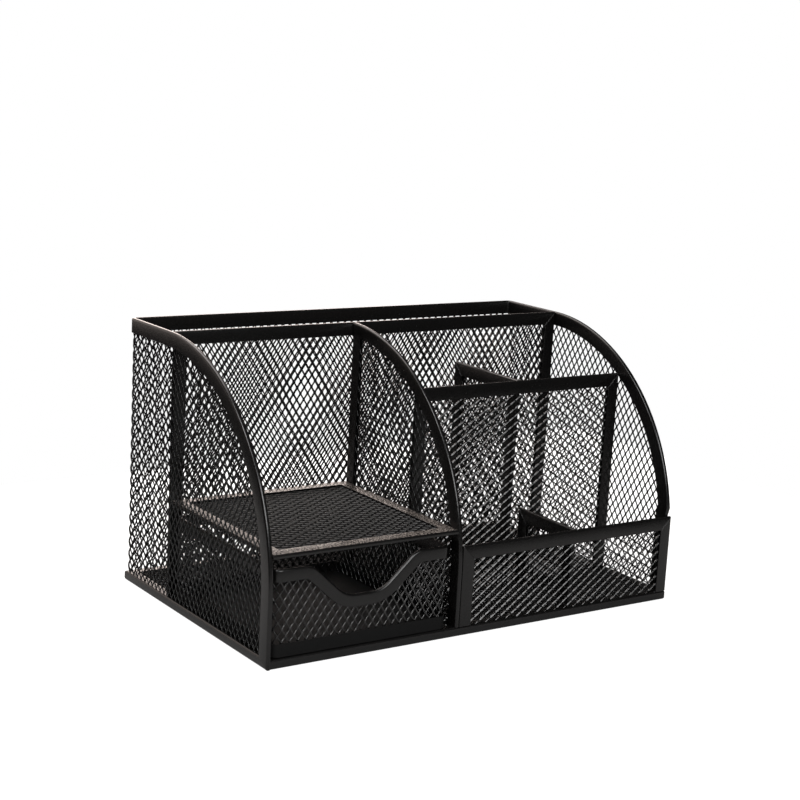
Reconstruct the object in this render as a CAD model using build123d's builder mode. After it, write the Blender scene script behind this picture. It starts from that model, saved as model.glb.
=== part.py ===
from build123d import *
import math
import os

# Pen stand with a drawer, folded up from black steel mesh and steel edging strip.
# Millimetres, +Z up, the front faces -Y, the origin is under the middle of the base.

# Overall size of the walls, measured over their edging
width = 220.0
depth = 135.0
height = 125.0
front_edge_height = 30.0  # where the side walls' curve starts, above the table
corner_radius = 3.0  # bend of the two back corners

# Mesh sheet: diamond openings, long way of the diamond against short way
mesh_thickness = 1.2
cell_short = 11.0
cell_long = 16.5
strand = 2.0
smallest_opening = 0.3  # share of a whole opening, under which a cut one is left out

# Edging strip: a U folded over the edge of the mesh
strip_depth = 6.2
strip_wall = 0.5

# Base edging, which holds the foot of the walls and the floor
base_height = 4.2
base_proud = 0.8
base_inner = 3.2
base_corner = 1.0
wall_sink = 3.2  # how far the wall mesh goes down into the base edging
ledge_width = 3.0
ledge_thickness = 0.8

# Dividers and front panel, from the walls' outer faces
slot_depth = 40.0  # letter slot: back face to the middle of the slot divider
centre_divider_from_left = 96.3
pen_divider_from_front = 43.5
pen_divider_drop = 7.0  # its top edge below the side walls' curve
pen_cross_from_left = 157.3
low_cross_from_left = 162.0
front_panel_top = 41.0

# Shelf over the drawer
shelf_top = 48.5
shelf_setback = 1.5

# Drawer
drawer_lift = 0.3
drawer_headroom = 4.3
drawer_play_left = 0.8
drawer_play_right = 3.8
drawer_setback = 1.0
drawer_play_back = 2.9
drawer_corner = 4.0
drawer_band = 5.4
tray_thickness = 0.8
tray_flange = 5.7
notch_depth = 15.4
notch_mouth = 52.0
notch_floor = 18.0
notch_shoulder_radius = 9.0
notch_floor_radius = 14.0

# What follows from them
strip_thickness = mesh_thickness + 2 * strip_wall
half_mesh = mesh_thickness / 2
half_strip = strip_thickness / 2
left = -width / 2
right = width / 2
front = -depth / 2
back = depth / 2
slot_y = back - slot_depth
centre_x = left + centre_divider_from_left
pen_y = front + pen_divider_from_front
pen_cross_x = left + pen_cross_from_left
low_cross_x = left + low_cross_from_left
curve_reach = slot_y - front
curve_rise = height - front_edge_height
share_along = (slot_y - pen_y) / curve_reach
pen_top = front_edge_height + curve_rise * math.sqrt(1 - share_along**2) - pen_divider_drop
wall_foot = base_height - wall_sink
shelf_z = shelf_top - half_strip

drawer_left = left + strip_thickness + drawer_play_left
drawer_right = centre_x - half_strip - drawer_play_right
drawer_front = front + drawer_setback
drawer_back = slot_y - half_strip - drawer_play_back
drawer_bottom = base_height + drawer_lift
drawer_top = shelf_top - strip_thickness - drawer_headroom
drawer_x = (drawer_left + drawer_right) / 2
drawer_y = (drawer_front + drawer_back) / 2
drawer_width = drawer_right - drawer_left
drawer_depth = drawer_back - drawer_front
notch_slope = math.atan2(notch_depth, (notch_mouth - notch_floor) / 2)

curve_steps = 12  # straight cuts that stand for the curve at the edge of the openings
same_point = 0.001


def clip(polygon, window):
    """The part of a polygon inside a convex window, both anticlockwise lists of points."""
    kept = polygon
    for (ax, ay), (bx, by) in zip(window, window[1:] + window[:1]):
        side = [(bx - ax) * (y - ay) - (by - ay) * (x - ax) for x, y in kept]
        clipped = []
        for i, point in enumerate(kept):
            j = (i + 1) % len(kept)
            if side[i] >= 0:
                clipped.append(point)
            if side[i] * side[j] < 0:
                t = side[i] / (side[i] - side[j])
                clipped.append(tuple(p + t * (q - p) for p, q in zip(point, kept[j])))
        kept = [p for i, p in enumerate(clipped) if math.dist(p, clipped[i - 1]) > same_point]
    return kept


def area(polygon):
    """Area of a polygon given as an anticlockwise list of points."""
    turned = polygon[1:] + polygon[:1]
    return sum(x * v - u * y for (x, y), (u, v) in zip(polygon, turned)) / 2


def box_window(x0, x1, y0, y1):
    """A rectangle as an anticlockwise list of points."""
    return [(x0, y0), (x1, y0), (x1, y1), (x0, y1)]


def diamonds(windows, across, up):
    """Diamond openings that fill overlapping convex windows, each cut off at a window's edges."""
    side = math.hypot(across, up)
    half_across = (across - strand * side / up) / 2
    half_up = (up - strand * side / across) / 2
    smallest = smallest_opening * 2 * half_across * half_up
    xs = [x for window in windows for x, y in window]
    ys = [y for window in windows for x, y in window]
    middle = (min(xs) + max(xs)) / 2
    columns = math.ceil((max(xs) - min(xs)) / across) + 1
    rows = math.ceil((max(ys) - min(ys)) / up) + 1
    openings = []
    for row in range(2 * rows):
        y = min(ys) + row * up / 2
        for column in range(-columns, columns + 1):
            x = middle + (column + (row % 2) / 2) * across
            whole = [(x - half_across, y), (x, y - half_up), (x + half_across, y), (x, y + half_up)]
            cut = max((clip(whole, window) for window in windows), key=area)
            if area(cut) > smallest:
                openings.append(cut)
    return openings


def net(outline, windows, across, up):
    """One flat face of mesh: an outline, as a face, with diamond holes in it."""
    holes = [Wire.make_polygon([Vector(*p) for p in cut]) for cut in diamonds(windows, across, up)]
    return Face(outline.outer_wire(), holes)


def rectangle(x0, x1, y0, y1):
    """A rectangular face from its edges."""
    with BuildSketch() as sketch:
        with Locations(((x0 + x1) / 2, (y0 + y1) / 2)):
            Rectangle(x1 - x0, y1 - y0)
    return sketch.face()


def curved(inset, foot, y_back, y_lap=front):
    """Side wall outline in Y and Z: upright front edge, curve and flat top, set in by inset.

    It ends at y_back, and y_lap is where it starts behind a panel that laps over its front edge.
    """
    with BuildSketch() as sketch:
        with BuildLine():
            Polyline(
                (slot_y, height - inset),
                (back, height - inset),
                (back, foot),
                (front + inset, foot),
                (front + inset, front_edge_height),
            )
            EllipticalCenterArc(
                (slot_y, front_edge_height),
                curve_reach - inset,
                curve_rise - inset,
                start_angle=90,
                arc_size=90,
            )
        make_face()
        with Locations((y_back, height / 2)):
            Rectangle(2 * depth, 2 * height, align=(Align.MAX, Align.CENTER), mode=Mode.INTERSECT)
        if y_lap > front + inset:
            with Locations((y_lap, 0)):
                Rectangle(depth, front_panel_top, align=(Align.MAX, Align.MIN), mode=Mode.SUBTRACT)
    return sketch.face()


def curved_window(foot, y_back):
    """Window for the openings of a curved wall, inside its edging, down to foot."""
    turns = [math.pi / 2 * (1 + i / curve_steps) for i in range(curve_steps + 1)]
    arc = [
        (
            slot_y + (curve_reach - strip_depth) * math.cos(t),
            front_edge_height + (curve_rise - strip_depth) * math.sin(t),
        )
        for t in turns
    ]
    outline = arc + [
        (front + strip_depth, foot),
        (back, foot),
        (back, height - strip_depth),
    ]
    return clip(outline, box_window(front, y_back, 0, height))


def mesh_panel(plane, outline, windows, across, up):
    """A flat piece of mesh, half its thickness each side of a plane."""
    with BuildPart() as panel:
        with BuildSketch(plane.offset(-half_mesh)):
            add(net(outline, windows, across, up))
        extrude(amount=mesh_thickness, clean=False)
    return panel


def edging(plane, outline, opening, sheet):
    """Edging strip round an outline: a band, open in the middle, with a groove for the sheet."""
    with BuildPart() as strip:
        with BuildSketch(plane.offset(-half_strip)):
            add(outline)
            add(opening, mode=Mode.SUBTRACT)
        extrude(amount=strip_thickness)
        with BuildSketch(plane.offset(-half_mesh)):
            add(sheet)
        extrude(amount=mesh_thickness, mode=Mode.SUBTRACT)
    return strip


def upright(plane, x0, x1, foot, top, across, up):
    """A rectangular divider: its mesh, and its edging along the top and down both ends."""
    sheet = rectangle(x0 + strip_wall, x1 - strip_wall, foot, top - strip_wall)
    sill = max(base_height, foot + strand)
    window = box_window(x0 + strip_depth, x1 - strip_depth, sill, top - strip_depth)
    mesh = mesh_panel(plane, sheet, [window], across, up)
    outline = rectangle(x0, x1, base_height, top)
    opening = rectangle(x0 + strip_depth, x1 - strip_depth, base_height, top - strip_depth)
    return mesh, edging(plane, outline, opening, sheet)


def rounded(x_size, y_size, inset, radius, all_corners):
    """Plan of a bent wall set in by inset, with the back corners, or all four, rounded."""
    with BuildSketch() as sketch:
        Rectangle(x_size - 2 * inset, y_size - 2 * inset)
        corners = sketch.vertices()
        if not all_corners:
            corners = corners.group_by(Axis.Y)[-1]
        fillet(corners, radius - inset)
    return sketch.face()


def base_ring(outer, inner):
    """Plan of the band between two insets of the stand's walls."""
    with BuildSketch() as sketch:
        add(rounded(width, depth, outer, corner_radius, False))
        add(rounded(width, depth, inner, corner_radius, False), mode=Mode.SUBTRACT)
    return sketch.sketch


def drawer_ring(outer, inner):
    """Plan of the band between two insets of the drawer's walls."""
    with BuildSketch() as sketch:
        add(rounded(drawer_width, drawer_depth, outer, drawer_corner, True))
        add(rounded(drawer_width, drawer_depth, inner, drawer_corner, True), mode=Mode.SUBTRACT)
    return sketch.sketch


# Base edging: a ring with a ledge for the floor and a groove for the foot of the walls
with BuildPart() as base_rim:
    with BuildSketch():
        Rectangle(width + 2 * base_proud, depth + 2 * base_proud)
    extrude(amount=base_height)
    uprights = base_rim.edges().filter_by(Axis.Z).group_by(Axis.Y)
    fillet(uprights[-1], corner_radius + base_proud)
    fillet(base_rim.edges().filter_by(Axis.Z).group_by(Axis.Y)[0], base_corner)
    with BuildSketch():
        Rectangle(width - 2 * base_inner, depth - 2 * base_inner)
    extrude(amount=base_height, mode=Mode.SUBTRACT)
    with BuildSketch(Plane.XY.offset(base_height - mesh_thickness - ledge_thickness)):
        Rectangle(width - 2 * base_inner, depth - 2 * base_inner)
        Rectangle(
            width - 2 * (base_inner + ledge_width),
            depth - 2 * (base_inner + ledge_width),
            mode=Mode.SUBTRACT,
        )
    extrude(amount=ledge_thickness)
    with BuildSketch(Plane.XY.offset(wall_foot)):
        add(base_ring(strip_wall, strip_wall + mesh_thickness))
        with Locations((left + strip_wall + mesh_thickness, front)):
            Rectangle(
                centre_x + half_strip - left - mesh_thickness,
                base_inner,
                align=(Align.MIN, Align.MIN),
                mode=Mode.SUBTRACT,
            )
    extrude(amount=base_height, mode=Mode.SUBTRACT)

# Floor, flush with the top of the base edging, on its ledge
floor_x = width / 2 - base_inner
floor_y = depth / 2 - base_inner
floor_mesh = mesh_panel(
    Plane.XY.offset(base_height - half_mesh),
    rectangle(-floor_x, floor_x, -floor_y, floor_y),
    [
        box_window(
            -floor_x + ledge_width,
            floor_x - ledge_width,
            -floor_y + ledge_width,
            floor_y - ledge_width,
        )
    ],
    cell_long,
    cell_short,
)

# Side walls, up to the bends at the back corners
left_plane = Plane.YZ.offset(left + half_strip)
right_plane = Plane.YZ.offset(right - half_strip)
bend_y = back - corner_radius
side_window = curved_window(base_height, bend_y - strand / 2)


def side_wall(plane, y_lap):
    """Mesh and edging of one side wall, which starts at y_lap behind the front panel."""
    sheet = curved(strip_wall, wall_foot, bend_y, y_lap)
    outline = curved(0, base_height, bend_y, y_lap)
    opening = curved(strip_depth, base_height, bend_y)
    mesh = mesh_panel(plane, sheet, [side_window], cell_short, cell_long)
    return mesh, edging(plane, outline, opening, sheet)


left_side_mesh, left_side_rim = side_wall(left_plane, front)
right_side_mesh, right_side_rim = side_wall(right_plane, front + strip_thickness)

# Back wall with the bends at both ends
back_plane = Plane.XZ.offset(-(back - half_strip))
bend_x = width / 2 - corner_radius
back_window_x = bend_x - strand / 2
with BuildPart() as back_mesh:
    with BuildSketch(back_plane.offset(-half_mesh)):
        add(
            net(
                rectangle(-bend_x, bend_x, wall_foot, height - strip_wall),
                [box_window(-back_window_x, back_window_x, base_height, height - strip_depth)],
                cell_short,
                cell_long,
            )
        )
    extrude(amount=mesh_thickness, clean=False)
    with BuildSketch(Plane.XY.offset(wall_foot)):
        add(base_ring(strip_wall, strip_wall + mesh_thickness))
        with Locations((0, bend_y)):
            Rectangle(width, depth, align=(Align.CENTER, Align.MIN), mode=Mode.INTERSECT)
            Rectangle(2 * bend_x, depth, align=(Align.CENTER, Align.MIN), mode=Mode.SUBTRACT)
    extrude(amount=height - strip_wall - wall_foot)
with BuildPart() as back_rim:
    with BuildSketch(Plane.XY.offset(height - strip_depth)):
        add(base_ring(0, strip_thickness))
        with Locations((0, bend_y)):
            Rectangle(width, depth, align=(Align.CENTER, Align.MIN), mode=Mode.INTERSECT)
    extrude(amount=strip_depth)
    with BuildSketch(Plane.XY.offset(height - strip_depth)):
        add(base_ring(strip_wall, strip_wall + mesh_thickness))
    extrude(amount=strip_depth - strip_wall, mode=Mode.SUBTRACT)

# Divider in front of the letter slot
slot_divider_mesh, slot_divider_rim = upright(
    Plane.XZ.offset(-slot_y),
    left + strip_thickness,
    right - strip_thickness,
    base_height,
    height,
    cell_short,
    cell_long,
)

# Centre divider, curved like the side walls, with edging down its back end too
centre_plane = Plane.YZ.offset(centre_x)
centre_back = slot_y - half_strip
centre_sheet = curved(strip_wall, base_height, centre_back - strip_wall)
centre_divider_mesh = mesh_panel(
    centre_plane,
    centre_sheet,
    [curved_window(base_height + strand, centre_back - strip_depth)],
    cell_short,
    cell_long,
)
centre_divider_rim = edging(
    centre_plane,
    curved(0, base_height, centre_back),
    curved(strip_depth, base_height, centre_back - strip_depth),
    centre_sheet,
)

# Pen divider across the right half
pen_divider_mesh, pen_divider_rim = upright(
    Plane.XZ.offset(-pen_y),
    centre_x + half_strip,
    right - strip_thickness,
    base_height,
    pen_top,
    cell_long,
    cell_short,
)

# Cross divider between the pen divider and the slot divider
pen_cross_divider_mesh, pen_cross_divider_rim = upright(
    Plane.YZ.offset(pen_cross_x),
    pen_y + half_strip,
    slot_y - half_mesh,
    base_height,
    pen_top,
    cell_short,
    cell_long,
)

# Low front panel, which stands in the base edging
front_panel_mesh, front_panel_rim = upright(
    Plane.XZ.offset(-(front + half_strip)),
    centre_x + half_strip,
    right,
    wall_foot,
    front_panel_top,
    cell_long,
    cell_short,
)

# Low cross divider between the front panel and the pen divider
low_cross_divider_mesh, low_cross_divider_rim = upright(
    Plane.YZ.offset(low_cross_x),
    front + strip_thickness,
    pen_y - half_mesh,
    base_height,
    front_panel_top,
    cell_short,
    cell_long,
)

# Shelf over the drawer, edged all round
shelf_plane = Plane.XY.offset(shelf_z)
shelf_edges = (
    left + strip_thickness,
    centre_x - half_strip,
    front + shelf_setback,
    slot_y - half_strip,
)


def shelf_rectangle(inset):
    """The shelf's outline set in by inset, as the edges of a rectangle."""
    x0, x1, y0, y1 = shelf_edges
    return x0 + inset, x1 - inset, y0 + inset, y1 - inset


shelf_sheet = rectangle(*shelf_rectangle(strip_wall))
shelf_mesh = mesh_panel(
    shelf_plane,
    shelf_sheet,
    [box_window(*shelf_rectangle(strip_depth))],
    cell_long,
    cell_short,
)
shelf_rim = edging(
    shelf_plane,
    rectangle(*shelf_rectangle(0)),
    rectangle(*shelf_rectangle(strip_depth)),
    shelf_sheet,
)

# Drawer: a solid sheet tray with a turned-up flange, and mesh walls that stand in it
drawer_plan = Plane((drawer_x, drawer_y, drawer_bottom))
mesh_foot = drawer_bottom + tray_thickness
mesh_head = drawer_top - strip_wall
window_foot = drawer_bottom + tray_flange
window_head = drawer_top - drawer_band
flat_x = drawer_width / 2 - drawer_corner
flat_y = drawer_depth / 2 - drawer_corner

with BuildPart() as drawer_tray:
    with BuildSketch(drawer_plan):
        add(rounded(drawer_width, drawer_depth, 0, drawer_corner, True))
    extrude(amount=tray_flange)
    with BuildSketch(drawer_plan.offset(tray_thickness)):
        add(rounded(drawer_width, drawer_depth, strip_wall, drawer_corner, True))
    extrude(amount=tray_flange, mode=Mode.SUBTRACT)


def drawer_bends(rows, base, amount, outer, inner):
    """The two rounded corners at the drawer's front or back, between two insets."""
    with BuildPart() as bends:
        with BuildSketch(Plane((drawer_x, drawer_y, base))):
            add(drawer_ring(outer, inner))
            with Locations((0, rows * drawer_depth / 2)):
                Rectangle(drawer_width, 2 * drawer_corner, mode=Mode.INTERSECT)
                Rectangle(2 * flat_x, 2 * drawer_corner, mode=Mode.SUBTRACT)
        extrude(amount=amount)
    return bends.part


def drawer_wall(plane, outline, windows, rows):
    """Front or back mesh of the drawer, with the two corners that it bends round."""
    with BuildPart() as wall:
        with BuildSketch(plane.offset(-half_mesh)):
            add(net(outline, windows, cell_short, cell_long))
        extrude(amount=mesh_thickness, clean=False)
        add(drawer_bends(rows, mesh_foot, mesh_head - mesh_foot, strip_wall, strip_wall + mesh_thickness))
    return wall


def drawer_strip(plane, outline, sheet, rows):
    """Top edging along the drawer's front or back, with the two corners."""
    low = drawer_top - drawer_band
    with BuildPart() as strip:
        with BuildSketch(plane.offset(-half_strip)):
            add(outline)
        extrude(amount=strip_thickness)
        add(drawer_bends(rows, low, drawer_band, 0, strip_thickness))
        with BuildSketch(plane.offset(-half_mesh)):
            add(sheet)
        extrude(amount=mesh_thickness, mode=Mode.SUBTRACT)
        groove = drawer_band - strip_wall
        add(
            drawer_bends(rows, low, groove, strip_wall, strip_wall + mesh_thickness),
            mode=Mode.SUBTRACT,
        )
    return strip


def notch_line(drop):
    """Points and radii of the notched top edge, moved down and outwards by drop."""
    spread = drop * math.tan(notch_slope / 2)
    mouth = notch_mouth / 2 + spread
    floor = notch_floor / 2 + spread
    top = drawer_top - drop
    low = top - notch_depth
    shoulder = notch_shoulder_radius - drop
    hollow = notch_floor_radius + drop
    points = [(-flat_x, top), (-mouth, top), (-floor, low), (floor, low), (mouth, top), (flat_x, top)]
    return [(drawer_x + x, z) for x, z in points], [shoulder, hollow, hollow, shoulder]


def notched(drop, foot):
    """Face under the notched top edge, down to foot, between the drawer's two front bends."""
    points, radii = notch_line(drop)
    with BuildSketch() as sketch:
        with BuildLine():
            FilletPolyline(*points, radius=radii)
            Polyline(points[-1], (drawer_x + flat_x, foot), (drawer_x - flat_x, foot), points[0])
        make_face()
    return sketch.face()


# Windows of the notched front: under the notch, and to the left and right of it
notch_points, notch_radii = notch_line(drawer_band)
shoulder_x, hollow_x = notch_points[1][0], notch_points[2][0]
hollow_z = notch_points[2][1]
slope_foot_x = hollow_x + (hollow_z - window_foot) / math.tan(notch_slope)
flat_left = drawer_x - flat_x + strand / 2
flat_right = drawer_x + flat_x - strand / 2
notch_left = [
    (flat_left, window_foot),
    (slope_foot_x, window_foot),
    (shoulder_x, window_head),
    (flat_left, window_head),
]
notch_right = [(2 * drawer_x - x, z) for x, z in reversed(notch_left)]
notch_under = box_window(flat_left, flat_right, window_foot, hollow_z)
notch_windows = [notch_left, notch_under, notch_right]

front_plane = Plane.XZ.offset(-(drawer_front + half_strip))
front_sheet = notched(strip_wall, mesh_foot)
drawer_front_mesh = drawer_wall(front_plane, front_sheet, notch_windows, -1)
with BuildSketch() as front_band_face:
    add(notched(0, mesh_foot))
    add(notched(drawer_band, mesh_foot), mode=Mode.SUBTRACT)
drawer_front_band = drawer_strip(front_plane, front_band_face.face(), front_sheet, -1)

rear_plane = Plane.XZ.offset(-(drawer_back - half_strip))
rear_sheet = rectangle(drawer_x - flat_x, drawer_x + flat_x, mesh_foot, mesh_head)
rear_window = box_window(flat_left, flat_right, window_foot, window_head)
drawer_back_mesh = drawer_wall(rear_plane, rear_sheet, [rear_window], 1)
rear_band_face = rectangle(drawer_x - flat_x, drawer_x + flat_x, window_head, drawer_top)
drawer_back_rim = drawer_strip(rear_plane, rear_band_face, rear_sheet, 1)

side_edges = (drawer_y - flat_y, drawer_y + flat_y)
wall_sheet = rectangle(*side_edges, mesh_foot, mesh_head)
wall_window = box_window(
    side_edges[0] + strand / 2, side_edges[1] - strand / 2, window_foot, window_head
)
wall_band = rectangle(*side_edges, window_head, drawer_top)


def drawer_side(plane):
    """Mesh and top edging of one side of the drawer, between its bends."""
    mesh = mesh_panel(plane, wall_sheet, [wall_window], cell_short, cell_long)
    with BuildPart() as strip:
        with BuildSketch(plane.offset(-half_strip)):
            add(wall_band)
        extrude(amount=strip_thickness)
        with BuildSketch(plane.offset(-half_mesh)):
            add(wall_sheet)
        extrude(amount=mesh_thickness, mode=Mode.SUBTRACT)
    return mesh, strip


drawer_left_mesh, drawer_left_rim = drawer_side(Plane.YZ.offset(drawer_left + half_strip))
drawer_right_mesh, drawer_right_rim = drawer_side(Plane.YZ.offset(drawer_right - half_strip))

pieces = {
    "base_rim": base_rim,
    "floor_mesh": floor_mesh,
    "left_side_mesh": left_side_mesh,
    "left_side_rim": left_side_rim,
    "right_side_mesh": right_side_mesh,
    "right_side_rim": right_side_rim,
    "back_mesh": back_mesh,
    "back_rim": back_rim,
    "slot_divider_mesh": slot_divider_mesh,
    "slot_divider_rim": slot_divider_rim,
    "centre_divider_mesh": centre_divider_mesh,
    "centre_divider_rim": centre_divider_rim,
    "pen_divider_mesh": pen_divider_mesh,
    "pen_divider_rim": pen_divider_rim,
    "pen_cross_divider_mesh": pen_cross_divider_mesh,
    "pen_cross_divider_rim": pen_cross_divider_rim,
    "front_panel_mesh": front_panel_mesh,
    "front_panel_rim": front_panel_rim,
    "low_cross_divider_mesh": low_cross_divider_mesh,
    "low_cross_divider_rim": low_cross_divider_rim,
    "shelf_mesh": shelf_mesh,
    "shelf_rim": shelf_rim,
    "drawer_tray": drawer_tray,
    "drawer_front_mesh": drawer_front_mesh,
    "drawer_front_band": drawer_front_band,
    "drawer_left_mesh": drawer_left_mesh,
    "drawer_left_rim": drawer_left_rim,
    "drawer_right_mesh": drawer_right_mesh,
    "drawer_right_rim": drawer_right_rim,
    "drawer_back_mesh": drawer_back_mesh,
    "drawer_back_rim": drawer_back_rim,
}

os.makedirs("parts", exist_ok=True)
for name, piece in pieces.items():
    piece.part.label = name
    export_step(piece.part, f"parts/{name}.step")
    openings = sum(len(face.inner_wires()) for face in piece.faces()) // 2
    print(f"{name}: {len(piece.solids())} solid, {openings} holes, {piece.part.volume:.0f} mm3")
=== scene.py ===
import bmesh
import bpy
import math
from mathutils import Matrix, Vector


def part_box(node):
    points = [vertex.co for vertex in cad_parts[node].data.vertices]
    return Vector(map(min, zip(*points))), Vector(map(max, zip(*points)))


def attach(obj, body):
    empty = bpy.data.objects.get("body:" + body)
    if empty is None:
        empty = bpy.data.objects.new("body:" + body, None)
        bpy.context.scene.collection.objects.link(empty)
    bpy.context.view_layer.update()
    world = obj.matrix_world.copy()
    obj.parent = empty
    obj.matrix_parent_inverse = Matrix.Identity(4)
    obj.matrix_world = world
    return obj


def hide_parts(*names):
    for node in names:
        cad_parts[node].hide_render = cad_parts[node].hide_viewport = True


# Pen stand with a drawer, in black powder-coated steel: expanded mesh walls and dividers, each
# bound with a folded edging strip. Metres, +Z up, the front faces -Y.

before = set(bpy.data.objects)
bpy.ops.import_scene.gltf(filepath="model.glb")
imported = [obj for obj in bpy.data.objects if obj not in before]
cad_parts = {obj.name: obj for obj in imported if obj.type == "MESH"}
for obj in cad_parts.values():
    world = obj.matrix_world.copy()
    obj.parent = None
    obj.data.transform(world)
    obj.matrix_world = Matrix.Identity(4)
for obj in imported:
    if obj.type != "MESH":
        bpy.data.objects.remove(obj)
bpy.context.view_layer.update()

mm = 0.001
hair = 0.01 * mm  # less than this counts as nothing

# Expanded mesh: pitch of the diamonds, width and lean of the strands, thickness of the sheet
pitch_short = 3.95 * mm
pitch_long = 5.9 * mm
strand_width = 0.54 * mm
pen_strand_width = 0.46 * mm
front_strand_width = 0.42 * mm  # on the front panel and the drawer
level_strand_width = 0.66 * mm  # on the floor and the shelf
strand_lean = 0.6  # slope of a strand's face against the sheet
level_lean = 0.62
sheet_thickness = 0.52 * mm
knuckle_flat = 0.42 * mm  # cut across an opening's blunt corners
tip_flat = 0.16 * mm  # cut across its sharp corners

# How many degrees the rows of diamonds are turned in their sheet
wrap_askew = -0.4
pen_askew = -0.4
panel_askew = 2.0
cross_askew = 0.5
drawer_askew = 1.2

# Folded edging strip
strip_depth = 6.2 * mm
wrap_depth = 6.7 * mm
base_depth = 5.0 * mm
drawer_band = 5.4 * mm
strip_wall = 0.5 * mm
fold_radius = 0.85 * mm
fold_steps = 4
lip_bevel = 0.12 * mm
lip_steps = 2
lip_angle = 40  # degrees between two faces, above which their edge is rounded

# Fits between the pieces
mesh_tuck = 3.2 * mm  # how far the mesh goes in under the strip's lips
wrap_foot = pitch_long / 2 + 0.2 * mm  # lowest centre of a diamond, with its tip off the table
tray_flange = 3 * mm  # how far above the tray's underside the drawer's mesh starts
base_lap = 0.15 * mm  # how far the base edging stays inside the faces of the walls

# Curve of the side walls and the centre divider
curve_foot = 30.0 * mm
curve_steps = 30

# Bends of the walls seen from above, measured on the outer face
wall_bend = 3.0 * mm
drawer_bend = 4.0 * mm
bend_steps = 6

# Drawer front's notch
notch_depth = 15.4 * mm
notch_mouth = 52.0 * mm
notch_floor = 18.0 * mm
shoulder_radius = 9.0 * mm
hollow_radius = 14.0 * mm
notch_steps = 8

# Shading: the angle in degrees up to which neighbouring faces look like one surface
fold_smooth = 50
rod_smooth = 180  # strands with a soft, round gleam
ribbon_smooth = 0  # strands with flat, crisp faces

# Places from the frame
side_low, side_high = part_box("left_side_rim")
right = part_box("right_side_rim")[1].x
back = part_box("back_rim")[1].y
base_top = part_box("base_rim")[1].z
slot_low, slot_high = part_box("slot_divider_rim")
centre_low, centre_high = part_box("centre_divider_rim")
panel_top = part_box("front_panel_rim")[1].z
shelf_low, shelf_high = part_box("shelf_rim")
floor_low, floor_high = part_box("floor_mesh")
tray_low, tray_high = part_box("drawer_tray")
drawer_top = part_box("drawer_front_band")[1].z

left = side_low.x
front = side_low.y
top = side_high.z
strip_thickness = side_high.x - side_low.x
slot_y = (slot_low.y + slot_high.y) / 2
curve_radius = slot_y - front


# --- Shapes in the flat: u along, v up, w through the sheet ---

def side_plane(x):
    """Local u, v, w for a wall across X: u runs back, v up, w to the right."""
    return Matrix(((0, 0, 1, x), (1, 0, 0, 0), (0, 1, 0, 0), (0, 0, 0, 1)))


def cross_plane(y):
    """Local u, v, w for a wall across Y: u runs right, v up, w to the front."""
    return Matrix(((1, 0, 0, 0), (0, 0, -1, y), (0, 1, 0, 0), (0, 0, 0, 1)))


def level_plane(z):
    """Local u, v, w for a level sheet: u runs right, v back, w up."""
    return Matrix.Translation((0, 0, z))


def arc(centre, radius, start, end, steps):
    """Points on an arc in the plane, angles in degrees."""
    turns = [math.radians(start + (end - start) * i / steps) for i in range(steps + 1)]
    return [(centre[0] + radius * math.cos(t), centre[1] + radius * math.sin(t)) for t in turns]


def filleted(points, radii, steps):
    """A polyline with its inner corners rounded."""
    path = [points[0]]
    for i, radius in enumerate(radii, 1):
        before, corner, after = (Vector(points[j]) for j in (i - 1, i, i + 1))
        one, two = (before - corner).normalized(), (after - corner).normalized()
        half = one.angle(two) / 2
        centre = corner + (one + two).normalized() * radius / math.sin(half)
        reach = radius / math.tan(half)
        a, b = corner + one * reach - centre, corner + two * reach - centre
        swing = a.angle_signed(b)
        for step in range(steps + 1):
            turned = Matrix.Rotation(-swing * step / steps, 2) @ a
            path.append(tuple(centre + turned))
    path.append(points[-1])
    return path


def folded_strip(bm, path, depth=strip_depth, thickness=strip_thickness, start_mitre=0, end_mitre=0):
    """Sweeps the U of a folded strip along a path in the plane, its opening to the path's right.

    A mitre of 1 cuts that end at 45 degrees, short on the inner side.
    """
    points = [Vector(p) for p in path]
    legs = [(b - a).normalized() for a, b in zip(points, points[1:])]
    stations = []
    for i, point in enumerate(points):
        before, after = legs[max(i - 1, 0)], legs[min(i, len(legs) - 1)]
        along = (before + after).normalized()
        inward = Vector((along.y, -along.x)) / along.dot(after)
        if i == 0:
            inward += start_mitre * along
        if i == len(points) - 1:
            inward -= end_mitre * along
        stations.append(
            Matrix(
                (
                    (inward.x, 0, along.x, point.x),
                    (inward.y, 0, along.y, point.y),
                    (0, 1, 0, 0),
                    (0, 0, 0, 1),
                )
            )
        )
    half = thickness / 2
    inner = half - strip_wall
    corners = [
        (depth, -half), (0, -half), (0, half), (depth, half),
        (depth, inner), (strip_wall, inner), (strip_wall, -inner), (depth, -inner),
    ]
    section = [bm.verts.new((x, y, 0)) for x, y in corners]
    bm.faces.new(section)
    earlier = set(bm.verts) - set(section)
    bmesh.ops.bevel(
        bm, geom=section[1:3], offset=fold_radius, affect="VERTICES",
        segments=fold_steps, profile=0.5, material=-1,
    )
    rounded = [v for v in bm.verts if v not in earlier]
    ring = list(rounded[0].link_faces[0].edges)
    bmesh.ops.transform(bm, matrix=stations[0], verts=rounded)
    for last, station in zip(stations, stations[1:]):
        made = bmesh.ops.extrude_edge_only(bm, edges=ring)["geom"]
        fresh = {g for g in made if isinstance(g, bmesh.types.BMVert)}
        ring = [
            g for g in made
            if isinstance(g, bmesh.types.BMEdge) and g.verts[0] in fresh and g.verts[1] in fresh
        ]
        bmesh.ops.transform(bm, matrix=station @ last.inverted(), verts=list(fresh))
    bmesh.ops.contextual_create(bm, geom=ring)


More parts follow.
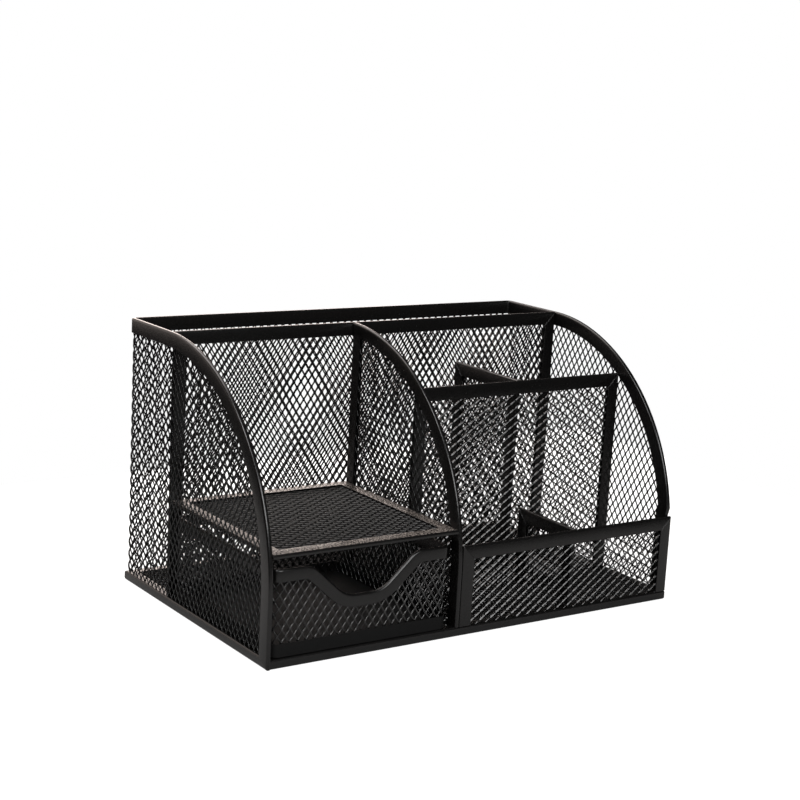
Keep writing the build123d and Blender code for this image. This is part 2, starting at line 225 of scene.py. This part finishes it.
def diamond_sheet(bm, low, high, long_way, lean, keep=None, askew=0.0, strand=strand_width):
    """Expanded mesh over a rectangle: flat leaning strands round diamond openings.

    long_way is 0 or 1, the local axis of the diamonds' long diagonal. With a lean above zero an
    opening rises along its short way. keep is a test on a diamond's centre, for other outlines.
    askew is how many degrees the rows of diamonds are turned in the sheet. The diamonds are a
    grid of squares, turned by 45 degrees and stretched.
    """
    short_way = 1 - long_way
    pitch = [pitch_short, pitch_short]
    pitch[long_way] = pitch_long
    size = [high[i] - low[i] for i in (0, 1)]
    slip = abs(math.radians(askew)) * max(size)
    steps = math.ceil(size[0] / pitch[0] + size[1] / pitch[1] + slip / pitch_short) + 2
    bmesh.ops.create_grid(bm, x_segments=steps, y_segments=steps, size=steps / 2)
    turn = Matrix.Rotation(math.radians(45), 4, "Z")
    scale = Matrix.Diagonal((pitch[0] / math.sqrt(2), pitch[1] / math.sqrt(2), 1, 1))
    place = Matrix.Translation(((low[0] + high[0]) / 2, (low[1] + high[1]) / 2, 0))
    bmesh.ops.transform(bm, matrix=place @ scale @ turn, verts=bm.verts)
    spin = place @ Matrix.Rotation(math.radians(askew), 4, "Z") @ place.inverted()
    outside = []
    for f in bm.faces:
        u, v, _ = spin @ f.calc_center_median()
        if not (low[0] < u < high[0] and low[1] < v < high[1]) or (keep and not keep(u, v)):
            outside.append(f)
    bmesh.ops.delete(bm, geom=outside, context="FACES")
    openings = list(bm.faces)
    bmesh.ops.inset_individual(bm, faces=openings, thickness=strand / 2, use_even_offset=True)
    knuckles, tips = [], []
    for f in openings:
        middle = f.calc_center_median()
        for v in f.verts:
            beside = abs(v.co[long_way] - middle[long_way]) < 0.1 * pitch_short
            (knuckles if beside else tips).append(v)
    for corners, flat in ((knuckles, knuckle_flat), (tips, tip_flat)):
        bmesh.ops.bevel(
            bm, geom=corners, offset=flat, affect="VERTICES", segments=1, profile=0.5, material=-1,
        )
    holes = [f for f in bm.faces if len(f.verts) == 8]  # four sides and four cut corners
    half = [p / 2 for p in pitch]
    inradius = half[0] * half[1] / math.hypot(*half)
    for f in holes:
        middle = f.calc_center_median()
        for v in {e.other_vert(c) for c in f.verts for e in c.link_edges}:
            across = [v.co[i] - middle[i] for i in (0, 1)]
            inset = (1 - abs(across[0]) / half[0] - abs(across[1]) / half[1]) * inradius
            if abs(across[short_way]) > hair and inset > hair:
                v.co.z = math.copysign(lean * inset, lean * across[short_way])
    bmesh.ops.delete(bm, geom=holes, context="FACES")
    bmesh.ops.transform(bm, matrix=spin, verts=bm.verts)


class Course:
    """The line that a bent wall follows, seen from above: straight legs and round corners."""

    def __init__(self, start, heading, legs):
        self.legs = []
        self.length = 0.0
        point, angle = Vector(start), math.radians(heading)
        for straight, radius in legs:
            along = Vector((math.cos(angle), math.sin(angle)))
            self.legs.append((self.length, straight, point.copy(), angle, 0.0))
            self.length += straight
            point = point + along * straight
            if radius:
                arc_length = radius * math.pi / 2
                self.legs.append((self.length, arc_length, point.copy(), angle, radius))
                self.length += arc_length
                side = Vector((math.sin(angle), -math.cos(angle)))
                point = point + (along + side) * radius
                angle -= math.pi / 2

    def place(self, s, v, w):
        """Where a point of the flat sheet comes to lie; w is outwards, away from the turns."""
        start, _, point, angle, radius = next(
            (leg for leg in reversed(self.legs) if s >= leg[0]), self.legs[0]
        )
        along = Vector((math.cos(angle), math.sin(angle)))
        out = Vector((-along.y, along.x))
        t = s - start
        if radius:
            centre = point - out * radius
            out = Matrix.Rotation(-t / radius, 2) @ out
            xy = centre + out * (radius + w)
        else:
            xy = point + along * t + out * w
        return Vector((xy.x, xy.y, v))

    def bend(self, bm):
        """Cuts the flat mesh across each corner, then lays it along the course."""
        for start, length, _, _, radius in self.legs:
            if radius:
                for i in range(bend_steps + 1):
                    s = start + length * i / bend_steps
                    bmesh.ops.bisect_plane(
                        bm, geom=bm.verts[:] + bm.edges[:] + bm.faces[:],
                        plane_co=(s, 0, 0), plane_no=(1, 0, 0),
                    )
        for v in bm.verts:
            v.co = self.place(*v.co)


# --- Pieces ---

def piece(name, bm, body, material, nodes, matrix=None, walls=0.0, smooth=fold_smooth):
    """Makes an object of a mesh, gives it its finish and lets it stand for CAD nodes."""
    if matrix:
        bmesh.ops.transform(bm, matrix=matrix, verts=bm.verts)
    bmesh.ops.recalc_face_normals(bm, faces=bm.faces)
    mesh = bpy.data.meshes.new(name)
    bm.to_mesh(mesh)
    bm.free()
    mesh.materials.append(material)
    if smooth:
        mesh.polygons.foreach_set("use_smooth", [True] * len(mesh.polygons))
        mesh.set_sharp_from_angle(angle=math.radians(smooth))
    made = bpy.data.objects.new(name, mesh)
    bpy.context.scene.collection.objects.link(made)
    if walls:
        thick = made.modifiers.new("sheet", "SOLIDIFY")
        thick.thickness = walls
        thick.offset = 0
    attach(made, body)
    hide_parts(*nodes)
    return made


def fine_mesh(name, bm, body, material, nodes, matrix=None, smooth=rod_smooth):
    """A sheet of expanded mesh."""
    piece(name, bm, body, material, nodes, matrix, sheet_thickness, smooth)


def edging(name, bm, body, material, nodes, matrix=None):
    """A folded strip, with the sharpness taken off its edges and mitres."""
    lips = piece(name, bm, body, material, nodes, matrix).modifiers.new("lips", "BEVEL")
    lips.width = lip_bevel
    lips.segments = lip_steps
    lips.limit_method = "ANGLE"
    lips.angle_limit = math.radians(lip_angle)
    lips.harden_normals = False


# --- Materials ---

# Sockets of a Mix node, which has one set for numbers and one for colours
number_a, number_b, number_mixed = 2, 3, 0
colour_a, colour_b, colour_mixed = 6, 7, 2

white = (1, 1, 1)

# Tones of the coat, the darkest and the lightest
strip_tones = ((0.0015, 0.0015, 0.0015), (0.004, 0.0036, 0.0034))
mesh_tones = ((0.001, 0.001, 0.001), (0.002, 0.002, 0.002))
sheet_tones = ((0.003, 0.003, 0.003), (0.005, 0.005, 0.005))

# Roughness of the coat, the lowest and the highest
strip_gloss = (0.20, 0.30)
mesh_gloss = (0.16, 0.26)
floor_gloss = (0.3, 0.4)
sheet_gloss = (0.60, 0.72)

# Grain of the coat: strength of its relief, and how fine it is
strip_grain = (0.9, 1500.0)
mesh_grain = (0.3, 1800.0)
sheet_grain = (0.3, 2000.0)
grain_height = 0.04 * mm
mottle_scale = 900.0

# Specular level of the coat
plain_shine = 0.5
panel_shine = 0.6
drawer_shine = 1.0
dull_shine = 0.15

# Light specks on the faces that look up: dust, and painted sheen that stands in for light glancing off
# them
dust_and_sheen_tone = (0.23, 0.20, 0.18)
speck_scale = 1700.0
speck_noise = (0.42, 0.62)  # the noise at which a speck begins, and is full
speck_facing = (0.8, 0.98)  # how far a face looks up, where the specks begin and are full
shelf_dust_and_sheen = 0.9


def new_material(name):
    material = bpy.data.materials.new(name)
    material.use_nodes = True
    nodes = material.node_tree.nodes
    return material, nodes, material.node_tree.links, nodes["Principled BSDF"]


def noise_node(nodes, detail, scale=None):
    noise = nodes.new("ShaderNodeTexNoise")
    noise.inputs["Detail"].default_value = detail
    if scale:
        noise.inputs["Scale"].default_value = scale
    return noise


def range_node(nodes, taken, given=(0.0, 1.0)):
    """Turns one range of numbers into another, and holds at its ends."""
    node = nodes.new("ShaderNodeMapRange")
    for part, span in (("From", taken), ("To", given)):
        node.inputs[part + " Min"].default_value = span[0]
        node.inputs[part + " Max"].default_value = span[1]
    return node


def times_node(nodes):
    node = nodes.new("ShaderNodeMath")
    node.operation = "MULTIPLY"
    return node


def colour_node(nodes):
    node = nodes.new("ShaderNodeMix")
    node.data_type = "RGBA"
    return node


def coat_group():
    """Powder coat: fine grain for the relief, a faint mottle for colour and gloss, and light
    specks on the faces that look up, partly dust and partly painted sheen."""
    group = bpy.data.node_groups.new("powder_coat", "ShaderNodeTree")
    for way, sockets in (
        ("INPUT", (("Grain Scale", "Float"), ("Dark", "Color"), ("Light", "Color"),
                   ("Gloss Low", "Float"), ("Gloss High", "Float"), ("Dust and Sheen", "Float"))),
        ("OUTPUT", (("Color", "Color"), ("Roughness", "Float"), ("Height", "Float"))),
    ):
        for name, kind in sockets:
            group.interface.new_socket(name, in_out=way, socket_type="NodeSocket" + kind)
    nodes, links = group.nodes, group.links
    given = nodes.new("NodeGroupInput")
    out = nodes.new("NodeGroupOutput")
    where = nodes.new("ShaderNodeTexCoord")

    grain = noise_node(nodes, detail=2.0)
    grain.inputs["Roughness"].default_value = 0.6
    mottle = noise_node(nodes, detail=3.0, scale=mottle_scale)
    specks = noise_node(nodes, detail=1.0, scale=speck_scale)
    for noise in (grain, mottle, specks):
        links.new(where.outputs["Object"], noise.inputs["Vector"])
    links.new(given.outputs["Grain Scale"], grain.inputs["Scale"])
    links.new(grain.outputs["Fac"], out.inputs["Height"])

    gloss = nodes.new("ShaderNodeMix")
    links.new(mottle.outputs["Fac"], gloss.inputs["Factor"])
    links.new(given.outputs["Gloss Low"], gloss.inputs[number_a])
    links.new(given.outputs["Gloss High"], gloss.inputs[number_b])
    links.new(gloss.outputs[number_mixed], out.inputs["Roughness"])

    colour = colour_node(nodes)
    links.new(mottle.outputs["Fac"], colour.inputs["Factor"])
    links.new(given.outputs["Dark"], colour.inputs[colour_a])
    links.new(given.outputs["Light"], colour.inputs[colour_b])

    # Light specks on faces that look up: dust, and painted sheen that stands in for light glancing off
    # them
    facing = nodes.new("ShaderNodeSeparateXYZ")
    upward = range_node(nodes, speck_facing)
    speckled = range_node(nodes, speck_noise)
    upward_specks = times_node(nodes)
    dust_and_sheen_amount = times_node(nodes)
    dust_and_sheen_mix = colour_node(nodes)
    dust_and_sheen_mix.inputs[colour_b].default_value = (*dust_and_sheen_tone, 1)
    links.new(where.outputs["Normal"], facing.inputs[0])
    links.new(facing.outputs["Z"], upward.inputs["Value"])
    links.new(specks.outputs["Fac"], speckled.inputs["Value"])
    links.new(upward.outputs["Result"], upward_specks.inputs[0])
    links.new(speckled.outputs["Result"], upward_specks.inputs[1])
    links.new(upward_specks.outputs[0], dust_and_sheen_amount.inputs[0])
    links.new(given.outputs["Dust and Sheen"], dust_and_sheen_amount.inputs[1])
    links.new(dust_and_sheen_amount.outputs[0], dust_and_sheen_mix.inputs["Factor"])
    links.new(colour.outputs[colour_mixed], dust_and_sheen_mix.inputs[colour_a])
    links.new(dust_and_sheen_mix.outputs[colour_mixed], out.inputs["Color"])
    return group


def coated(name, tones, gloss, grain, dust_and_sheen=0.0, shine=plain_shine):
    """A powder-coated steel material with its own tone, gloss and grain."""
    material, nodes, links, shader = new_material(name)
    relief_strength, grain_scale = grain
    coat = nodes.new("ShaderNodeGroup")
    coat.node_tree = powder
    for socket, value in (
        ("Grain Scale", grain_scale),
        ("Dark", (*tones[0], 1)),
        ("Light", (*tones[1], 1)),
        ("Gloss Low", gloss[0]),
        ("Gloss High", gloss[1]),
        ("Dust and Sheen", dust_and_sheen),
    ):
        coat.inputs[socket].default_value = value
    shader.inputs["Specular IOR Level"].default_value = shine
    relief = nodes.new("ShaderNodeBump")
    relief.inputs["Strength"].default_value = relief_strength
    relief.inputs["Distance"].default_value = grain_height
    links.new(coat.outputs["Color"], shader.inputs["Base Color"])
    links.new(coat.outputs["Roughness"], shader.inputs["Roughness"])
    links.new(coat.outputs["Height"], relief.inputs["Height"])
    links.new(relief.outputs["Normal"], shader.inputs["Normal"])
    return material


powder = coat_group()
strip_finish = coated("strip_coat", strip_tones, strip_gloss, strip_grain)
mesh_finish = coated("mesh_coat", mesh_tones, mesh_gloss, mesh_grain)
panel_mesh_finish = coated("panel_mesh_coat", mesh_tones, mesh_gloss, mesh_grain, shine=panel_shine)
drawer_mesh_finish = coated("drawer_mesh_coat", mesh_tones, mesh_gloss, mesh_grain, shine=drawer_shine)
# The shelf's edging carries the light specks on its upper faces: dust, and painted sheen for light
# glancing off its top
shelf_finish = coated("shelf_strip_coat", strip_tones, strip_gloss, strip_grain, dust_and_sheen=shelf_dust_and_sheen)
sheet_finish = coated("sheet_coat", sheet_tones, sheet_gloss, sheet_grain, shine=dull_shine)
floor_finish = coated("floor_mesh_coat", mesh_tones, floor_gloss, mesh_grain, shine=dull_shine)


# --- Outer wrap: one bent sheet of mesh, and one folded strip along its top ---

wrap_radius = wall_bend - strip_thickness / 2
side_leg = back - front - wall_bend
back_leg = right - left - 2 * wall_bend
wrap_course = Course(
    (left + strip_thickness / 2, front), 90,
    [(side_leg, wrap_radius), (back_leg, wrap_radius), (side_leg, 0)],
)


def under_curve(along, up):
    """Whether a diamond's centre is within a curved front edge, short of its strip's lips.

    along and up are how far it is in front of the curve's centre and above it.
    """
    if along <= 0 or up <= 0:
        return along < curve_radius - mesh_tuck
    return math.hypot(along, up) < curve_radius - mesh_tuck


def make_wrap():
    length = wrap_course.length
    side = side_leg + wall_bend
    for name, start, end in (
        ("left_side", 0, side), ("back", side, length - side), ("right_side", length - side, length),
    ):
        def keep(u, v):
            inside = under_curve(curve_radius - min(u, length - u), v - curve_foot)
            return start <= u < end and inside

        bm = bmesh.new()
        diamond_sheet(bm, (0, wrap_foot), (length, top - mesh_tuck), 1, strand_lean, keep, wrap_askew)
        wrap_course.bend(bm)
        fine_mesh(name.removesuffix("_side") + "_fine_mesh", bm, "stand", mesh_finish, [name + "_mesh"])
    bm = bmesh.new()
    rise = arc((curve_radius, curve_foot), curve_radius, 180, 90, curve_steps)
    fall = [(length - u, v) for u, v in reversed(rise)]
    lapped = [(u, v) for u, v in fall if v > panel_top + strip_thickness]
    foot = length - strip_thickness
    path = [(0, 0)] + rise + lapped + [(foot, panel_top), (foot, base_top)]
    folded_strip(bm, path, depth=wrap_depth, start_mitre=base_top / wrap_depth)
    wrap_course.bend(bm)
    edging("wrap_edging", bm, "stand", strip_finish, ["left_side_rim", "back_rim", "right_side_rim"])


# --- Dividers ---

def along_x(node):
    """The plane of a divider that runs across the stand, and its reach in that plane."""
    low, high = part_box(node)
    return cross_plane((low.y + high.y) / 2), low.x, high.x, base_top, high.z


def along_y(node):
    """The plane of a divider that runs from front to back, and its reach in that plane."""
    low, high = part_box(node)
    return side_plane((low.x + high.x) / 2), low.y, high.y, base_top, high.z


def make_divider(name, plane, long_way, askew, strand, finish, smooth):
    """A rectangular mesh divider with edging along its top and down its ends."""
    matrix, u0, u1, v0, v1 = plane(name + "_rim")
    bm = bmesh.new()
    lean = -strand_lean if long_way else strand_lean
    diamond_sheet(bm, (u0 + mesh_tuck, v0), (u1 - mesh_tuck, v1 - mesh_tuck), long_way, lean,
                  askew=askew, strand=strand)
    fine_mesh(name + "_fine_mesh", bm, "stand", finish, [name + "_mesh"], matrix, smooth)
    bm = bmesh.new()
    folded_strip(bm, [(u0, v0), (u0, v1)], end_mitre=1)
    folded_strip(bm, [(u0, v1), (u1, v1)], start_mitre=1, end_mitre=1)
    folded_strip(bm, [(u1, v1), (u1, v0)], start_mitre=1)
    edging(name + "_edging", bm, "stand", strip_finish, [name + "_rim"], matrix)


def make_dividers():
    for made in (
        ("slot_divider", along_x, 1, 0.0, strand_width, mesh_finish, rod_smooth),
        ("pen_divider", along_x, 0, pen_askew, pen_strand_width, panel_mesh_finish, ribbon_smooth),
        ("front_panel", along_x, 0, panel_askew, front_strand_width, panel_mesh_finish, ribbon_smooth),
        ("pen_cross_divider", along_y, 1, cross_askew, strand_width, mesh_finish, rod_smooth),
        ("low_cross_divider", along_y, 1, cross_askew, strand_width, mesh_finish, rod_smooth),
    ):
        make_divider(*made)


def make_centre_divider():
    matrix = side_plane((centre_low.x + centre_high.x) / 2)
    end = centre_high.y
    bm = bmesh.new()
    diamond_sheet(bm, (front, base_top), (end - mesh_tuck, top - mesh_tuck), 1, -strand_lean,
                  lambda u, v: under_curve(slot_y - u, v - curve_foot))
    fine_mesh("centre_divider_fine_mesh", bm, "stand", mesh_finish, ["centre_divider_mesh"], matrix)
    bm = bmesh.new()
    rise = arc((slot_y, curve_foot), curve_radius, 180, 90, curve_steps)
    rise = [(u, v) for u, v in rise if u < end] + [(end, top)]
    folded_strip(bm, [(front, base_top)] + rise, end_mitre=1)
    folded_strip(bm, [(end, top), (end, base_top)], start_mitre=1)
    edging("centre_divider_edging", bm, "stand", strip_finish, ["centre_divider_rim"], matrix)


# --- Level sheets: floor, base edging and shelf ---

def ring_of_strips(bm, x0, x1, y0, y1, **sizes):
    """Four mitred strips round a level rectangle, their openings inwards."""
    corners = [(x0, y0), (x0, y1), (x1, y1), (x1, y0)]
    for a, b in zip(corners, corners[1:] + corners[:1]):
        folded_strip(bm, [a, b], start_mitre=1, end_mitre=1, **sizes)


def make_base():
    bm = bmesh.new()
    diamond_sheet(bm, (floor_low.x, floor_low.y), (floor_high.x, floor_high.y), 0, -level_lean,
                  strand=level_strand_width)
    fine_mesh("floor_fine_mesh", bm, "stand", floor_finish, ["floor_mesh"],
              level_plane((floor_low.z + floor_high.z) / 2), ribbon_smooth)
    bm = bmesh.new()
    ring_of_strips(bm, left + base_lap, right - base_lap, front + base_lap, back - base_lap,
                   depth=base_depth, thickness=base_top)
    edging("base_edging", bm, "stand", strip_finish, ["base_rim"], level_plane(base_top / 2))


def make_shelf():
    matrix = level_plane((shelf_low.z + shelf_high.z) / 2)
    bm = bmesh.new()
    low = (shelf_low.x + mesh_tuck, shelf_low.y + mesh_tuck)
    high = (shelf_high.x - mesh_tuck, shelf_high.y - mesh_tuck)
    diamond_sheet(bm, low, high, 0, -level_lean, strand=level_strand_width)
    fine_mesh("shelf_fine_mesh", bm, "stand", mesh_finish, ["shelf_mesh"], matrix, ribbon_smooth)
    bm = bmesh.new()
    ring_of_strips(bm, shelf_low.x, shelf_high.x, shelf_low.y, shelf_high.y)
    edging("shelf_edging", bm, "stand", shelf_finish, ["shelf_rim"], matrix)


# --- Drawer: a sheet tray, one bent strip of mesh and one bent edging with the notch ---

drawer_radius = drawer_bend - strip_thickness / 2
drawer_wide = tray_high.x - tray_low.x - 2 * drawer_bend
drawer_long = tray_high.y - tray_low.y - 2 * drawer_bend
drawer_course = Course(
    ((tray_low.x + tray_high.x) / 2, tray_low.y + strip_thickness / 2), 180,
    [
        (drawer_wide / 2, drawer_radius), (drawer_long, drawer_radius),
        (drawer_wide, drawer_radius), (drawer_long, drawer_radius),
        (drawer_wide / 2, 0),
    ],
)


def notch_line(drop):
    """Half of the notched top edge, from its middle outwards, moved down by drop."""
    slope = math.atan2(notch_depth, (notch_mouth - notch_floor) / 2)
    spread = drop * math.tan(slope / 2)
    high = drawer_top - drop
    low = high - notch_depth
    corners = [
        (0, low), (notch_floor / 2 + spread, low), (notch_mouth / 2 + spread, high),
        (drawer_wide / 2, high),
    ]
    return filleted(corners, [hollow_radius + drop, shoulder_radius - drop], notch_steps)


def under_notch(s, v):
    """Whether a diamond of the drawer's wall lies under the edging's lips."""
    s = min(s, drawer_course.length - s)
    line = notch_line(mesh_tuck)
    for (a, high_a), (b, high_b) in zip(line, line[1:]):
        if a <= s < b:
            return v < high_a + (high_b - high_a) * (s - a) / (b - a)
    return v < drawer_top - mesh_tuck


def make_drawer():
    length = drawer_course.length
    bm = bmesh.new()
    diamond_sheet(bm, (0, tray_low.z + tray_flange), (length, drawer_top), 1, strand_lean,
                  under_notch, drawer_askew, front_strand_width)
    drawer_course.bend(bm)
    fine_mesh("drawer_wall_mesh", bm, "drawer", drawer_mesh_finish,
              ["drawer_front_mesh", "drawer_left_mesh", "drawer_right_mesh", "drawer_back_mesh"])
    bm = bmesh.new()
    rise = notch_line(0)
    path = rise + [(length - s, v) for s, v in reversed(rise)]
    folded_strip(bm, path, depth=drawer_band)
    drawer_course.bend(bm)
    bmesh.ops.remove_doubles(bm, verts=bm.verts, dist=hair)
    edging("drawer_edging", bm, "drawer", strip_finish,
           ["drawer_front_band", "drawer_left_rim", "drawer_right_rim", "drawer_back_rim"])


make_wrap()
make_dividers()
make_centre_divider()
make_base()
make_shelf()
make_drawer()

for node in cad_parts.values():
    if not node.hide_render:
        node.data.materials.clear()
        node.data.materials.append(sheet_finish)


# --- Floor, light and camera ---

floor_tone = (0.42, 0.42, 0.42)
floor_half = 0.29
floor_place = (0.03, -0.04, -0.0002)
floor_glow = (0.84, 1.0)  # as the camera sees it, near the stand and far from it
floor_glow_reach = (0.15, 0.27)

world_strength = (0.04, 1.0)  # for the object's light, and as the camera sees it

middle = (0, 0, 0.06)
soft_white = (1.0, 0.94, 0.90)
warm = (1.0, 0.86, 0.79)
lamps = (
    # name, place, aim, size, power, colour
    ("overhead", (-0.05, 0.3, 0.7), middle, (0.6, 0.6), 4.2, soft_white),
    ("backdrop", (-0.4, 0.9, 0.5), (-0.4, 0, 0.5), (2.4, 0.9), 6.2, warm),
    ("behind", (0.4, 0.97, 0.32), middle, (0.5, 0.4), 2.4, warm),
    ("front", (-0.16, -0.95, 0.57), middle, (0.7, 0.44), 8.0, white),
    ("side", (-0.55, -0.25, 0.80), middle, (0.36, 0.36), 4.2, white),
)

camera_place = (-0.4442, -0.6330, 0.2495)
camera_azimuth = 34.812  # degrees, as the next two
camera_down = 11.525
camera_roll = 3.151
camera_lens = 76.28
camera_sensor = 36.0


def add_floor():
    """A pale floor that fades into the white background and keeps the stand's shadow."""
    bm = bmesh.new()
    bmesh.ops.create_grid(bm, x_segments=1, y_segments=1, size=floor_half)
    mesh = bpy.data.meshes.new("floor")
    bm.to_mesh(mesh)
    bm.free()
    material, nodes, links, shader = new_material("pale_floor")
    shader.inputs["Base Color"].default_value = (*floor_tone, 1)
    shader.inputs["Roughness"].default_value = 0.9
    shader.inputs["Specular IOR Level"].default_value = 0.0
    shader.inputs["Emission Color"].default_value = (*white, 1)
    where = nodes.new("ShaderNodeTexCoord")
    away = nodes.new("ShaderNodeVectorMath")
    away.operation = "LENGTH"
    glow = range_node(nodes, floor_glow_reach, floor_glow)
    light_path = nodes.new("ShaderNodeLightPath")
    seen = times_node(nodes)
    links.new(where.outputs["Object"], away.inputs[0])
    links.new(away.outputs["Value"], glow.inputs["Value"])
    links.new(light_path.outputs["Is Camera Ray"], seen.inputs[0])
    links.new(glow.outputs["Result"], seen.inputs[1])
    links.new(seen.outputs[0], shader.inputs["Emission Strength"])
    mesh.materials.append(material)
    made = bpy.data.objects.new("floor", mesh)
    made.location = floor_place
    bpy.context.scene.collection.objects.link(made)


def add_world():
    world = bpy.data.worlds.new("studio")
    world.use_nodes = True
    nodes, links = world.node_tree.nodes, world.node_tree.links
    background = nodes["Background"]
    background.inputs["Color"].default_value = (*white, 1)
    light_path = nodes.new("ShaderNodeLightPath")
    strength = range_node(nodes, (0.0, 1.0), world_strength)
    links.new(light_path.outputs["Is Camera Ray"], strength.inputs["Value"])
    links.new(strength.outputs["Result"], background.inputs["Strength"])
    bpy.context.scene.world = world


def add_lamps():
    for name, place, aim, size, power, colour in lamps:
        lamp = bpy.data.lights.new(name, "AREA")
        lamp.shape = "RECTANGLE"
        lamp.size, lamp.size_y = size
        lamp.energy = power
        lamp.color = colour
        made = bpy.data.objects.new(name, lamp)
        made.location = place
        made.rotation_euler = (Vector(aim) - Vector(place)).to_track_quat("-Z", "Y").to_euler()
        made.visible_camera = False
        bpy.context.scene.collection.objects.link(made)


def add_camera():
    """The photograph's camera: its place, where it points and its picture angle."""
    azimuth, down, roll = (math.radians(a) for a in (camera_azimuth, camera_down, camera_roll))
    forward = Vector((
        math.sin(azimuth) * math.cos(down), math.cos(azimuth) * math.cos(down), -math.sin(down),
    ))
    level = Vector((math.cos(azimuth), -math.sin(azimuth), 0))
    up = level.cross(forward)
    across = math.cos(roll) * level + math.sin(roll) * up
    upright = -math.sin(roll) * level + math.cos(roll) * up
    lens = bpy.data.cameras.new("camera")
    lens.sensor_width = camera_sensor
    lens.lens = camera_lens
    made = bpy.data.objects.new("camera", lens)
    turn = Matrix((across, upright, -forward)).transposed()
    made.matrix_world = Matrix.Translation(camera_place) @ turn.to_4x4()
    bpy.context.scene.collection.objects.link(made)
    bpy.context.scene.camera = made


add_floor()
add_world()
add_lamps()
add_camera()
bpy.context.scene.view_settings.view_transform = "Standard"
